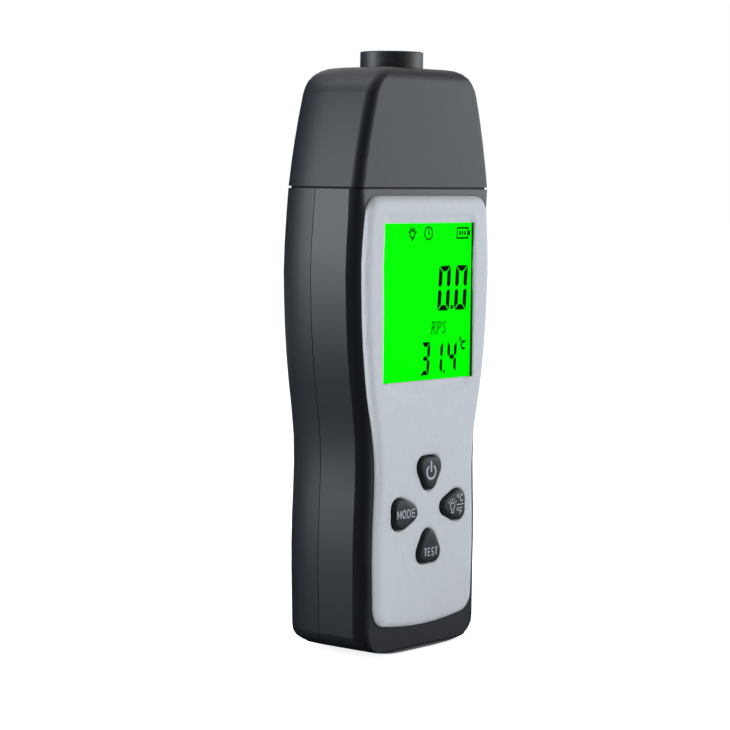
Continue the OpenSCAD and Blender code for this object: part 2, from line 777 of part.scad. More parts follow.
module optics_bracket() {
    reach = back_y - wall - slit;
    height = ring_top - ring_t - slip - bracket_low;
    mid = bracket_low + bracket_t / 2;
    color("#3f4246") difference() {
        union() {
            box([-bracket_w / 2, barrel_y - bracket_front, bracket_low],
                [bracket_w / 2, barrel_y + bracket_front, bracket_low + bracket_t]);
            translate([0, barrel_y, bracket_low]) cylinder(r = stem_r + sleeve_t, h = height);
            for (x = [-cap_screw_x, cap_screw_x]) {
                rod(cap_boss_r, barrel_y, reach, [x, mid]);
                box([x - leg_w / 2, front_y + neck_inset + slit, neck_top_z],
                    [x + leg_w / 2, front_y + neck_inset + leg_t, mid]);
                box([x - leg_w / 2, back_y - neck_inset - leg_t, neck_top_z],
                    [x + leg_w / 2, back_y - neck_inset - slit, mid]);
            }
        }
        translate([0, barrel_y, bracket_low - overrun]) cylinder(r = stem_r + slip, h = cap_top_h);
        for (x = [-cap_screw_x, cap_screw_x])
            rod(cap_screw_r + slip, back_y - cap_screw_l - cap_screw_head_t - slit, back_y, [x, mid]);
    }
}

module laser_module() {
    color("#b08d3e") translate([-eye_x, barrel_y, sensor_board_top]) cylinder(r = laser_r, h = laser_l);
}

module photodiode() {
    color("#23242a") translate([eye_x, barrel_y, sensor_board_top]) {
        cylinder(r = diode_r, h = diode_l);
        cylinder(r = diode_flange_r, h = diode_l / 4);
    }
}

module sensor_board() {
    half = sensor_board_w / 2;
    color("#1d6b3f") box([-half, barrel_y - stem_r, sensor_board_top - sensor_board_t],
                         [half, barrel_y + stem_r, sensor_board_top]);
}

module sensor_header() {
    half = header_pitch * header_pins / 2;
    low = tongue_top - header_t;
    pin_y = board_back_y + header_t / 2;
    color("#202124") box([-half, board_back_y, low], [half, board_back_y + header_t, tongue_top]);
    color("#c8a64a") for (i = [0:header_pins - 1]) let (x = (i + 0.5) * header_pitch - half)
        box([x - pin_t / 2, pin_y - pin_t / 2, low + pin_t],
            [x + pin_t / 2, pin_y + pin_t / 2, sensor_board_top - sensor_board_t]);
}

module case_screws() {
    color("#8d9095") for (at = case_screws_at())
        screw(screw_r, screw_head_r, screw_head_t, screw_l, split_y + screw_seat, at);
}

module board_screws() {
    color("#a3a6aa") for (at = board_screws_at())
        screw(board_screw_r, board_screw_head_r, board_screw_head_t, board_screw_l, board_back_y, at);
}

module cap_screws() {
    color("#5d6064") for (x = [-cap_screw_x, cap_screw_x])
        screw(cap_screw_r, cap_screw_head_r, cap_screw_head_t, cap_screw_l, back_y - cap_screw_head_t,
              [x, bracket_low + bracket_t / 2]);
}

module key_part(index, kind) {
    angle = key_angles[index];
    if (kind == "button") color("#3b3f44") button(angle);
    if (kind == "plunger") color("#d8d4c8") plunger(angle);
    if (kind == "switch") color("#4a4c50") tact_switch(angle);
}

front_case();
rear_case();
sensor_cap();
faceplate();
display_window();
lcd_cell();
lcd_backlight();
lcd_frame();
zebra_strip();
backlight_leds();
main_board();
controller_chip();
crystal_can();
filter_capacitor();
thermistor();
key_part(0, "button");  // power_button
key_part(1, "button");  // mode_button
key_part(2, "button");  // light_button
key_part(3, "button");  // test_button
key_part(0, "plunger");  // power_plunger
key_part(1, "plunger");  // mode_plunger
key_part(2, "plunger");  // light_plunger
key_part(3, "plunger");  // test_plunger
key_part(0, "switch");  // power_switch
key_part(1, "switch");  // mode_switch
key_part(2, "switch");  // light_switch
key_part(3, "switch");  // test_switch
battery_cover();
battery(0, true);  // battery_1
battery(1, false);  // battery_2
battery(2, true);  // battery_3
contact_spring(0, true);  // contact_spring_1
contact_spring(1, false);  // contact_spring_2
contact_spring(2, true);  // contact_spring_3
contact(0, 1, bay_high - contact_t);  // upper_contact_bridge
contact(2, 2, bay_high - contact_t);  // upper_contact_plate
contact(1, 2, bay_low);  // lower_contact_bridge
contact(0, 0, bay_low);  // lower_contact_plate
lens_barrel();
front_lens();
barrel_ring();
optics_bracket();
laser_module();
photodiode();
sensor_board();
sensor_header();
case_screws();
board_screws();
cap_screws();
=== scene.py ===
from math import atan2, cos, pi, radians, sin

import bmesh
import bpy
from mathutils import Matrix, Vector
from mathutils.bvhtree import BVHTree


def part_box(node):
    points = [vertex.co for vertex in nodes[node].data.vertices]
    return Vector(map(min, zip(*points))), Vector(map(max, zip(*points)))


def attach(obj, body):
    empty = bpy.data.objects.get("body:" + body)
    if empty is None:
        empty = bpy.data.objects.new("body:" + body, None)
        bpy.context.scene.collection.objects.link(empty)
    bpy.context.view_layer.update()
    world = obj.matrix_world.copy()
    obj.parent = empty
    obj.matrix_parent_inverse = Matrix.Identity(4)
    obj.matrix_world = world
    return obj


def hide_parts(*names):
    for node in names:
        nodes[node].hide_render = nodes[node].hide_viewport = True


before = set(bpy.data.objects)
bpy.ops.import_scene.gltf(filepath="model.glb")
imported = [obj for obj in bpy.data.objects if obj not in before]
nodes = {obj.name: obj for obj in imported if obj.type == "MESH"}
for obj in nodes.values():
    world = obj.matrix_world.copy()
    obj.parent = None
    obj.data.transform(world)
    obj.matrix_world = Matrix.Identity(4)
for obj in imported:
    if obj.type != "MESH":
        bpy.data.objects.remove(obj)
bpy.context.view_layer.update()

# lengths are in mm and angles in degrees, unless a note says otherwise
mm = 0.001
scene = bpy.context.scene
backward = Vector((0, 1, 0))

# the noise values between which roughness and colour run through their spread
noiseReach = {"roughness": (0.3, 0.7), "color": (0.35, 0.65)}


def startMaterial(name, color, roughness, metallic=0.0, specular=0.5):
    material = bpy.data.materials.new(name)
    material.use_nodes = True
    shader = material.node_tree.nodes["Principled BSDF"]
    shader.inputs["Base Color"].default_value = (*color, 1)
    shader.inputs["Roughness"].default_value = roughness
    shader.inputs["Metallic"].default_value = metallic
    shader.inputs["Specular IOR Level"].default_value = specular
    material.diffuse_color = (*color, 1)
    return material, shader


def addNoise(material, scale, detail=2.0, stretch=(1, 1, 1)):
    tree = material.node_tree
    place = tree.nodes.new("ShaderNodeTexCoord")
    mapping = tree.nodes.new("ShaderNodeMapping")
    mapping.inputs["Scale"].default_value = stretch
    noise = tree.nodes.new("ShaderNodeTexNoise")
    noise.inputs["Scale"].default_value = scale
    noise.inputs["Detail"].default_value = detail
    tree.links.new(place.outputs["Object"], mapping.inputs["Vector"])
    tree.links.new(mapping.outputs["Vector"], noise.inputs["Vector"])
    return noise


def addGrain(material, shader, scale, height, strength=1.0, stretch=(1, 1, 1)):
    noise = addNoise(material, scale, detail=3.0, stretch=stretch)
    bump = material.node_tree.nodes.new("ShaderNodeBump")
    bump.inputs["Strength"].default_value = strength
    bump.inputs["Distance"].default_value = height * mm
    material.node_tree.links.new(noise.outputs["Fac"], bump.inputs["Height"])
    material.node_tree.links.new(bump.outputs["Normal"], shader.inputs["Normal"])


def varyRoughness(material, shader, low, high, scale):
    noise = addNoise(material, scale)
    spread = material.node_tree.nodes.new("ShaderNodeMapRange")
    spread.inputs["From Min"].default_value = noiseReach["roughness"][0]
    spread.inputs["From Max"].default_value = noiseReach["roughness"][1]
    spread.inputs["To Min"].default_value = low
    spread.inputs["To Max"].default_value = high
    material.node_tree.links.new(noise.outputs["Fac"], spread.inputs["Value"])
    material.node_tree.links.new(spread.outputs["Result"], shader.inputs["Roughness"])


def varyColor(material, shader, dark, light, scale, stretch=(1, 1, 1)):
    noise = addNoise(material, scale, stretch=stretch)
    ramp = material.node_tree.nodes.new("ShaderNodeValToRGB")
    for stop, position, color in zip(ramp.color_ramp.elements, noiseReach["color"], (dark, light)):
        stop.position = position
        stop.color = (*color, 1)
    material.node_tree.links.new(noise.outputs["Fac"], ramp.inputs["Fac"])
    material.node_tree.links.new(ramp.outputs["Color"], shader.inputs["Base Color"])


def shades(color, spread):
    return tuple(c * (1 - spread) for c in color), tuple(c * (1 + spread) for c in color)


def between(value, factors):
    return value * factors[0], value * factors[1]


# Each kind of finish has its values here: spread is a share of the colour, rough holds the factors
# between which the roughness varies, and a scale counts the noise's cells over a metre
plastic = {"spread": 0.06, "colorScale": 700, "rough": (0.985, 1.015), "roughScale": 500,
           "grainSize": 0.25, "grainHeight": 0.006, "specular": 0.5}


def mouldedPlastic(name, color, roughness, **changes):
    look = {**plastic, **changes}
    material, shader = startMaterial(name, color, roughness, specular=look["specular"])
    varyColor(material, shader, *shades(color, look["spread"]), look["colorScale"])
    varyRoughness(material, shader, *between(roughness, look["rough"]), look["roughScale"])
    addGrain(material, shader, 1 / (look["grainSize"] * mm), look["grainHeight"])
    return material


metal = {"spread": 0.08, "colorScale": 300, "rough": (0.8, 1.25), "roughScale": 700,
         "grainScale": 2500, "grainHeight": 0.004, "grainStrength": 0.6, "stretch": (1, 1, 6)}


def rolledMetal(name, color, roughness):
    material, shader = startMaterial(name, color, roughness, metallic=1.0)
    varyColor(material, shader, *shades(color, metal["spread"]), metal["colorScale"], metal["stretch"])
    varyRoughness(material, shader, *between(roughness, metal["rough"]), metal["roughScale"])
    addGrain(material, shader, metal["grainScale"], metal["grainHeight"], metal["grainStrength"],
             metal["stretch"])
    return material


fibre = {"spread": 0.25, "colorScale": 1500, "stretch": (1, 1, 1.7), "roughness": 0.38, "roughLow": 0.3,
         "roughHigh": 0.48, "roughScale": 400, "grainScale": 1800, "grainHeight": 0.01}


def fibreBoard(name, color):
    material, shader = startMaterial(name, color, fibre["roughness"])
    varyColor(material, shader, *shades(color, fibre["spread"]), fibre["colorScale"], fibre["stretch"])
    varyRoughness(material, shader, fibre["roughLow"], fibre["roughHigh"], fibre["roughScale"])
    addGrain(material, shader, fibre["grainScale"], fibre["grainHeight"])
    return material


banded = {"rough": (0.85, 1.15), "roughScale": 300, "lastBand": 1}


def bandedMaterial(name, bands, roughness, metallic=0.0, axis="Z"):
    # bands: (height, colour) pairs, lowest first, each colour reaching up to the next height
    material, shader = startMaterial(name, bands[0][1], roughness, metallic)
    tree = material.node_tree
    place = tree.nodes.new("ShaderNodeTexCoord")
    split = tree.nodes.new("ShaderNodeSeparateXYZ")
    reach = tree.nodes.new("ShaderNodeMapRange")
    ramp = tree.nodes.new("ShaderNodeValToRGB")
    low, high = bands[0][0], bands[-1][0] + banded["lastBand"]
    reach.inputs["From Min"].default_value = low * mm
    reach.inputs["From Max"].default_value = high * mm
    ramp.color_ramp.interpolation = "CONSTANT"
    while len(ramp.color_ramp.elements) < len(bands):
        ramp.color_ramp.elements.new(1)
    for stop, (height, color) in zip(ramp.color_ramp.elements, bands):
        stop.position = (height - low) / (high - low)
        stop.color = (*color, 1)
    tree.links.new(place.outputs["Object"], split.inputs["Vector"])
    tree.links.new(split.outputs[axis], reach.inputs["Value"])
    tree.links.new(reach.outputs["Result"], ramp.inputs["Fac"])
    tree.links.new(ramp.outputs["Color"], shader.inputs["Base Color"])
    varyRoughness(material, shader, *between(roughness, banded["rough"]), banded["roughScale"])
    return material


glass = {"ior": 1.3, "rough": (0.7, 1.3), "roughScale": 500}


def clearGlass(name, color, roughness):
    material, shader = startMaterial(name, color, roughness)
    shader.inputs["Transmission Weight"].default_value = 1.0
    shader.inputs["IOR"].default_value = glass["ior"]
    varyRoughness(material, shader, *between(roughness, glass["rough"]), glass["roughScale"])
    return material


thinPane = {"alpha": 0.015, "specular": 0.08, "roughness": 0.12, "roughLow": 0.09, "roughHigh": 0.15,
            "roughScale": 400}


def clearPane(name, color):
    material, shader = startMaterial(name, color, thinPane["roughness"], specular=thinPane["specular"])
    shader.inputs["Alpha"].default_value = thinPane["alpha"]
    varyRoughness(material, shader, thinPane["roughLow"], thinPane["roughHigh"], thinPane["roughScale"])
    return material


litFace = {"strength": 0.75, "bodyShare": 0.6, "roughness": 0.6, "spread": 0.04, "colorScale": 60}


def glowingDisplay(name, color):
    bodyColor = tuple(c * litFace["bodyShare"] for c in color)
    material, shader = startMaterial(name, bodyColor, litFace["roughness"], specular=0.0)
    shader.inputs["Emission Color"].default_value = (*color, 1)
    shader.inputs["Emission Strength"].default_value = litFace["strength"]
    varyColor(material, shader, *shades(bodyColor, litFace["spread"]), litFace["colorScale"])
    return material


# farFront is a depth in front of everything, from which drawings are dropped on a surface
making = {"weld": 0.002, "flatAngle": 0.3, "cut": 0.0001, "onPlane": 0.01, "edgeSegments": 3,
          "evenWeight": 80, "farFront": -50}


def smoothFaces(mesh, sharpAngle):
    for face in mesh.polygons:
        face.use_smooth = True
    mesh.set_sharp_from_angle(angle=radians(sharpAngle))


def makePiece(name, bm, material, body, replaced=(), sharpAngle=35, edge=None):
    mesh = bpy.data.meshes.new(name)
    bm.to_mesh(mesh)
    bm.free()
    smoothFaces(mesh, sharpAngle)
    mesh.materials.append(material)
    piece = bpy.data.objects.new(name, mesh)
    scene.collection.objects.link(piece)
    if edge:
        bevel = piece.modifiers.new("roundedEdges", "BEVEL")
        bevel.width = edge * mm
        bevel.segments = making["edgeSegments"]
        bevel.limit_method = "ANGLE"
        bevel.angle_limit = radians(sharpAngle)
    even = piece.modifiers.new("evenShading", "WEIGHTED_NORMAL")
    even.keep_sharp = True
    even.weight = making["evenWeight"]
    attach(piece, body)
    if replaced:
        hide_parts(*replaced)
    return piece


def meshOfNode(node):
    # a merged copy of a CAD node, whose flat areas are single faces again
    bm = bmesh.new()
    bm.from_mesh(nodes[node].data)
    bmesh.ops.remove_doubles(bm, verts=bm.verts, dist=making["weld"] * mm)
    bmesh.ops.dissolve_limit(bm, angle_limit=radians(making["flatAngle"]), verts=bm.verts, edges=bm.edges,
                             use_dissolve_boundaries=False)
    return bm


def newVertsOf(result):
    return [g for g in result["geom"] if isinstance(g, bmesh.types.BMVert)]


def smoothStep(t):
    t = min(max(t, 0.0), 1.0)
    return t * t * (3 - 2 * t)


def cutAcross(bm, axis, start, end, step):
    # cuts square to an axis, from start to end every step, all in metres
    normal = Vector((0, 0, 0))
    normal[axis] = 1
    at = start
    while at < end:
        bmesh.ops.bisect_plane(bm, geom=bm.verts[:] + bm.edges[:] + bm.faces[:], dist=making["cut"] * mm,
                               plane_co=normal * at, plane_no=normal)
        at += step


def spinProfile(bm, profile, axisAt, steps):
    # profile: (radius, height) pairs, turned round an upright axis at axisAt = (x, y)
    centre = Vector((axisAt[0], axisAt[1], 0)) * mm
    start = [bm.verts.new(centre + Vector((r, 0, z)) * mm) for r, z in profile]
    edges = [bm.edges.new(pair) for pair in zip(start, start[1:])]
    bmesh.ops.spin(bm, geom=start + edges, cent=centre, axis=(0, 0, 1), dvec=(0, 0, 0), angle=2 * pi,
                   steps=steps, use_merge=True)
    bmesh.ops.remove_doubles(bm, verts=bm.verts, dist=making["weld"] * mm)
    bmesh.ops.recalc_face_normals(bm, faces=bm.faces)


# Drawn lines are (points, closed), with points (x, z). The gap between letters and the length that a
# word gets beyond its width are in strokes
drawing = {"flatness": 0.08, "bevelSteps": 1, "circleSteps": 28, "letterGap": 0.75, "wordSlack": 0.45}


def inkLines(bm, y, stroke, lines, lean=0.0, leanFrom=0.0):
    # lays flat lines of one stroke's width in the plane y, leaning from the height leanFrom on
    for points, closed in lines:
        curve = bpy.data.curves.new("line", "CURVE")
        curve.dimensions = "3D"
        curve.bevel_depth = stroke / 2 * mm
        curve.bevel_resolution = drawing["bevelSteps"]
        curve.use_fill_caps = True
        spline = curve.splines.new("POLY")
        spline.points.add(len(points) - 1)
        spline.use_cyclic_u = closed
        for point, (x, z) in zip(spline.points, points):
            point.co = ((x + lean * (z - leanFrom)) * mm, 0, z * mm, 1)
        holder = bpy.data.objects.new("line", curve)
        drawn = bpy.data.meshes.new_from_object(holder)
        flatten = Matrix.Diagonal((1, drawing["flatness"], 1, 1))
        drawn.transform(Matrix.Translation((0, y * mm, 0)) @ flatten)
        bm.from_mesh(drawn)
        bpy.data.objects.remove(holder)
        bpy.data.curves.remove(curve)
        bpy.data.meshes.remove(drawn)


def circlePoints(cx, cz, r, start=0, end=360, steps=drawing["circleSteps"]):
    full = abs(end - start) >= 360
    count = steps if full else steps + 1
    return [(cx + r * cos(radians(start + (end - start) * i / steps)),
             cz + r * sin(radians(start + (end - start) * i / steps))) for i in range(count)]


def rayLines(x, z, inner, outer, angles):
    # short strokes round a lamp, from one oval to another, which have these half sizes
    return [([(x + inner[0] * cos(radians(a)), z + inner[1] * sin(radians(a))),
              (x + outer[0] * cos(radians(a)), z + outer[1] * sin(radians(a)))], False) for a in angles]


# letters in a square of size 1
letterLines = {
    "M": [([(0, 0), (0, 1)], False), ([(1, 0), (1, 1)], False), ([(0, 1), (0.5, 0.25), (1, 1)], False)],
    "O": [(circlePoints(0.5, 0.5, 0.5), True)],
    "D": [([(0, 0), (0, 1), (0.5, 1), (0.88, 0.82), (1, 0.5), (0.88, 0.18), (0.5, 0)], True)],
    "E": [([(1, 1), (0, 1), (0, 0), (1, 0)], False), ([(0, 0.5), (0.85, 0.5)], False)],
    "T": [([(0, 1), (1, 1)], False), ([(0.5, 1), (0.5, 0)], False)],
    "S": [([(1, 0.85), (0.7, 1), (0.3, 1), (0, 0.78), (0.2, 0.56), (0.8, 0.44), (1, 0.22), (0.7, 0),
            (0.3, 0), (0, 0.15)], False)],
    "C": [([(1, 0.8), (0.7, 1), (0.3, 1), (0, 0.7), (0, 0.3), (0.3, 0), (0.7, 0), (1, 0.2)], False)],
    "F": [([(1, 1), (0, 1), (0, 0)], False), ([(0, 0.5), (0.8, 0.5)], False)],
}


def word(text, middle, height, width, stroke):
    # the stroke and the lines of a word, centred at middle = (x, z)
    pitch = (width + drawing["wordSlack"] * stroke) / len(text)
    letterWidth = pitch - (1 + drawing["letterGap"]) * stroke
    low = middle[1] - height / 2 + stroke / 2
    lines = []
    for i, letter in enumerate(text):
        left = middle[0] - width / 2 + stroke / 2 + i * pitch
        lines += [([(left + letterWidth * x, low + (height - stroke) * z) for x, z in points], closed)
                  for points, closed in letterLines[letter]]
    return stroke, lines


def layOnSurface(bm, surface, lift, spacing):
    # cuts a flat drawing finely and drops it on a curved surface behind it
    bmesh.ops.triangulate(bm, faces=bm.faces)
    for axis in (0, 2):
        along = [v.co[axis] for v in bm.verts]
        cutAcross(bm, axis, min(along) + spacing * mm, max(along), spacing * mm)
    middle = sum(v.co.y for v in bm.verts) / len(bm.verts)
    for vert in bm.verts:
        hit = surface.ray_cast(Vector((vert.co.x, making["farFront"] * mm, vert.co.z)), backward)
        if hit[0]:
            vert.co.y = hit[0].y - lift * mm + (vert.co.y - middle)


print("helpers ready")

# the clip distances are in metres
view = {"azimuth": 49.548, "pitch": 4.623, "roll": 0.671, "place": (-414.95, -346.97, 107.63),
        "focalPixels": 2389.226, "imagePixels": 730, "sensor": 36.0, "clipStart": 0.01, "clipEnd": 50}


def placeCamera():
    a, p, r = (radians(view[k]) for k in ("azimuth", "pitch", "roll"))
    ahead = Vector((sin(a) * cos(p), cos(a) * cos(p), -sin(p)))
    right = Vector((cos(a), -sin(a), 0))
    up = right.cross(ahead)
    rolledRight = cos(r) * right + sin(r) * up
    rolledUp = cos(r) * up - sin(r) * right
    data = bpy.data.cameras.new("camera")
    data.sensor_width = view["sensor"]
    data.lens = view["focalPixels"] * view["sensor"] / view["imagePixels"]
    data.clip_start = view["clipStart"]
    data.clip_end = view["clipEnd"]
    camera = bpy.data.objects.new("camera", data)
    turn = Matrix((rolledRight, rolledUp, -ahead)).transposed()
    camera.matrix_world = Matrix.Translation(Vector(view["place"]) * mm) @ turn.to_4x4()
    scene.collection.objects.link(camera)
    scene.camera = camera


# the studio is in metres and watts
studio = {"worldFill": 0.44, "fillColor": (0.96, 0.98, 1.0), "backdropColor": (1.0, 1.0, 1.0),
          "backdropStrength": 1.0, "floorColor": (0.86, 0.86, 0.87), "floorLift": 0.80,
          "floorRoughness": 0.9, "floorHalf": 4.0, "aim": (0, 0, 0.07), "lampColor": (0.88, 0.94, 1.0),
          # soft boxes: name, direction, distance, width and height, watts
          "boxes": [("frontBox", (0.78, -0.60, 0.06), 0.80, (0.62, 0.34), 3.6),
                    ("sideBox", (-0.82, 0.58, 0.16), 0.80, (0.42, 0.60), 7.0),
                    ("topBox", (-0.3, 0.42, 0.9), 0.90, (0.5, 0.5), 3.0)],
          # dark cards that only reflections show: name, direction, distance, width, height, middle's height
          "flags": [("cameraFlag", (-0.76, -0.65, 0), 0.62, 1.35, 1.3, 0.12),
                    ("rearFlag", (-0.10, 1.0, 0), 0.70, 1.15, 1.0, 0.12),
                    ("floorFlag", (0, 0, 1), 0.001, 1.1, 1.1, 0.0)],
          "flagColor": (0.01, 0.01, 0.01)}


def pictureRay(tree):
    # 1 for the rays that see the white backdrop itself
    path = tree.nodes.new("ShaderNodeLightPath")
    last = path.outputs["Is Camera Ray"]
    for kind in ("Is Glossy Ray", "Is Transmission Ray"):
        either = tree.nodes.new("ShaderNodeMath")
        either.operation = "MAXIMUM"
        tree.links.new(last, either.inputs[0])
        tree.links.new(path.outputs[kind], either.inputs[1])
        last = either.outputs[0]
    return last


def flatSheet(name, segments, half, material):
    bm = bmesh.new()
    bmesh.ops.create_grid(bm, x_segments=segments, y_segments=segments, size=half)
    mesh = bpy.data.meshes.new(name)
    bm.to_mesh(mesh)
    bm.free()
    mesh.materials.append(material)
    sheet = bpy.data.objects.new(name, mesh)
    scene.collection.objects.link(sheet)
    return sheet


def facing(aim, direction, distance):
    # a place in that direction from aim, with its back to it
    away = Vector(direction).normalized()
    turn = away.to_track_quat("Z", "Y").to_matrix().to_4x4()
    return Matrix.Translation(Vector(aim) + away * distance) @ turn


def buildWorld():
    world = bpy.data.worlds.new("studio")
    world.use_nodes = True
    tree = world.node_tree
    fill = tree.nodes["Background"]
    fill.inputs["Color"].default_value = (*studio["fillColor"], 1)
    fill.inputs["Strength"].default_value = studio["worldFill"]
    white = tree.nodes.new("ShaderNodeBackground")
    white.inputs["Color"].default_value = (*studio["backdropColor"], 1)
    white.inputs["Strength"].default_value = studio["backdropStrength"]
    mix = tree.nodes.new("ShaderNodeMixShader")
    tree.links.new(pictureRay(tree), mix.inputs[0])
    tree.links.new(fill.outputs[0], mix.inputs[1])
    tree.links.new(white.outputs[0], mix.inputs[2])
    tree.links.new(mix.outputs[0], tree.nodes["World Output"].inputs["Surface"])
    scene.world = world


def buildFloor():
    material, shader = startMaterial("paleFloor", studio["floorColor"], studio["floorRoughness"],
                                     specular=0.0)
    tree = material.node_tree
    shine = tree.nodes.new("ShaderNodeEmission")
    lift = tree.nodes.new("ShaderNodeMath")
    lift.operation = "MULTIPLY"
    lift.inputs[1].default_value = studio["floorLift"]
    tree.links.new(pictureRay(tree), lift.inputs[0])
    tree.links.new(lift.outputs[0], shine.inputs["Strength"])
    both = tree.nodes.new("ShaderNodeAddShader")
    tree.links.new(shader.outputs[0], both.inputs[0])
    tree.links.new(shine.outputs[0], both.inputs[1])
    tree.links.new(both.outputs[0], tree.nodes["Material Output"].inputs["Surface"])
    floor = flatSheet("floor", 2, studio["floorHalf"], material)


def hangLamps():
    for name, direction, distance, size, watts in studio["boxes"]:
        data = bpy.data.lights.new(name, "AREA")
        data.shape = "RECTANGLE"
        data.size, data.size_y = size
        data.energy = watts
        data.color = studio["lampColor"]
        lamp = bpy.data.objects.new(name, data)
        lamp.matrix_world = facing(studio["aim"], direction, distance)
        scene.collection.objects.link(lamp)


def standFlags():
    dark = startMaterial("darkFlag", studio["flagColor"], 1.0, specular=0.0)[0]
    for name, direction, distance, width, height, middle in studio["flags"]:
        flag = flatSheet(name, 1, 0.5, dark)
        spread = Matrix.Diagonal((width, height, 1, 1))
        flag.matrix_world = facing((0, 0, middle), direction, distance) @ spread
        flag.visible_camera = False
        flag.visible_diffuse = False
        flag.visible_transmission = False
        flag.visible_shadow = False


placeCamera()
buildWorld()
buildFloor()
hangLamps()
standFlags()
scene.view_settings.view_transform = "Standard"
print("camera and studio placed")

finish = {
    "case": mouldedPlastic("caseBlack", (0.0065, 0.0085, 0.0120), 0.42, specular=0.34),
    "cap": mouldedPlastic("capBlack", (0.0075, 0.0095, 0.0135), 0.44, specular=0.25),
    "panel": mouldedPlastic("panelGrey", (0.645, 0.657, 0.684), 0.42, spread=0.015, grainHeight=0.003,
                            specular=0.10),
    "window": clearPane("windowClear", (0.02, 0.03, 0.02)),
    # a dark grey for the walls of the window in the grey panel: painted shade, not a colour of the plastic
    "windowWallPaintedShade": mouldedPlastic("windowWallPaintedShade", (0.045, 0.05, 0.056), 0.6, specular=0.1),
    "glow": glowingDisplay("displayGreen", (0.0, 1.0, 0.0)),
    "ink": mouldedPlastic("displayInk", (0.002, 0.006, 0.002), 0.7, specular=0.0),
    "thinInk": mouldedPlastic("displayThinInk", (0.0, 0.012, 0.0), 0.7, specular=0.0),
    "guide": clearGlass("guideClear", (0.85, 1.0, 0.85), 0.15),
    "frame": mouldedPlastic("frameBlack", (0.006, 0.006, 0.007), 0.6, specular=0.15),
    "zebra": bandedMaterial("zebraRubber", [(0, (0.12, 0.09, 0.10)), (50, (0.16, 0.10, 0.12)),
                                            (58.6, (0.05, 0.05, 0.05))], 0.6),
    "led": mouldedPlastic("ledWhite", (0.80, 0.76, 0.50), 0.3),
    "board": fibreBoard("boardGreen", (0.012, 0.11, 0.045)),
    "chip": mouldedPlastic("chipBlack", (0.02, 0.02, 0.022), 0.45, grainHeight=0.01),
    "can": rolledMetal("canMetal", (0.62, 0.63, 0.65), 0.28),
    "capacitor": bandedMaterial("capacitorSleeve", [(-13, (0.02, 0.03, 0.08)), (3.5, (0.55, 0.56, 0.58))],
                                0.3, axis="Y"),
    "thermistor": mouldedPlastic("thermistorResin", (0.02, 0.12, 0.09), 0.3),
    "key": mouldedPlastic("keyRubber", (0.013, 0.014, 0.017), 0.50, spread=0.08, grainSize=0.2,
                          specular=0.27),
    "label": mouldedPlastic("keyLabel", (0.42, 0.47, 0.52), 0.6, spread=0.03),
    "plunger": mouldedPlastic("plungerWhite", (0.66, 0.62, 0.54), 0.5),
    "switch": mouldedPlastic("switchBody", (0.05, 0.05, 0.055), 0.45),
    "cell": bandedMaterial("cellLabel", [(11, (0.60, 0.60, 0.60)), (16.3, (0.012, 0.012, 0.014)),
                                         (44.5, (0.62, 0.36, 0.08)), (58.6, (0.60, 0.60, 0.60))],
                           0.3, 0.35),
    "turnedCell": bandedMaterial("turnedCellLabel", [(11, (0.60, 0.60, 0.60)), (12.6, (0.62, 0.36, 0.08)),
                                                     (26.0, (0.012, 0.012, 0.014)),
                                                     (54.0, (0.60, 0.60, 0.60))], 0.3, 0.35),
    "contact": rolledMetal("contactMetal", (0.66, 0.65, 0.62), 0.25),
    "barrel": mouldedPlastic("barrelBlack", (0.0165, 0.0185, 0.022), 0.42, grainHeight=0.003,
                             specular=0.3),
    "lens": clearGlass("lensRed", (0.55, 0.03, 0.06), 0.03),
    "bracket": mouldedPlastic("bracketBlack", (0.025, 0.026, 0.028), 0.5),
    "brass": rolledMetal("laserBrass", (0.70, 0.46, 0.16), 0.3),
    "diode": mouldedPlastic("diodeDark", (0.02, 0.02, 0.03), 0.15),
    "header": mouldedPlastic("headerBlack", (0.02, 0.02, 0.02), 0.5),
    "screw": rolledMetal("screwSteel", (0.50, 0.50, 0.51), 0.32),
}

# the CAD nodes that stay, by finish
keptNodes = {
    "glow": ["lcd_cell"], "guide": ["lcd_backlight"], "frame": ["lcd_frame"], "zebra": ["zebra_strip"],
    "led": ["backlight_leds"], "board": ["main_board", "sensor_board"], "chip": ["controller_chip"],
    "can": ["crystal_can"], "capacitor": ["filter_capacitor"], "thermistor": ["thermistor"],
    "plunger": ["power_plunger", "mode_plunger", "light_plunger", "test_plunger"],
    "switch": ["power_switch", "mode_switch", "light_switch", "test_switch"],
    "cell": ["battery_1", "battery_3"], "turnedCell": ["battery_2"],
    "contact": ["contact_spring_1", "contact_spring_2", "contact_spring_3", "upper_contact_bridge",
                "upper_contact_plate", "lower_contact_bridge", "lower_contact_plate"],
    "bracket": ["barrel_ring", "optics_bracket"], "brass": ["laser_module"], "diode": ["photodiode"],
    "header": ["sensor_header"], "screw": ["case_screws", "board_screws", "cap_screws"],
}

for finishName, nodeNames in keptNodes.items():
    for node in nodeNames:
        nodes[node].data.materials.clear()
        nodes[node].data.materials.append(finish[finishName])
print("finishes given to", sum(map(len, keptNodes.values())), "inner nodes")

keys = {"length": 8.2, "width": 7.7, "lobe": 0.13, "reach": 8.5, "points": 96, "flangeGrow": 0.5,
        "flangeThick": 0.7, "midHeight": 32.1, "sharp": 50,
        # grow from the outline and drop from the top of the key, from the foot of its wall to its crown
        "rings": [(0.0, 1.15), (-0.02, 0.50), (-0.08, 0.32), (-0.22, 0.18), (-0.45, 0.10), (-0.9, 0.05),
                  (-1.45, 0.02), (-2.1, 0.0)],
        "angles": {"power": 90, "mode": 180, "light": 0, "test": 270},
        # the visible keys are a little flatter than the CAD's: factors along X and Z, and shifts
        "squash": (0.98, 0.91),
        "nudge": {90: (0.35, -0.25), 180: (0.35, -0.2), 0: (0.35, 0.15), 270: (0.35, 0.25)},
        # how far round a key's middle its hole in the panel and the case is looked for
        "holeReach": 5.5}


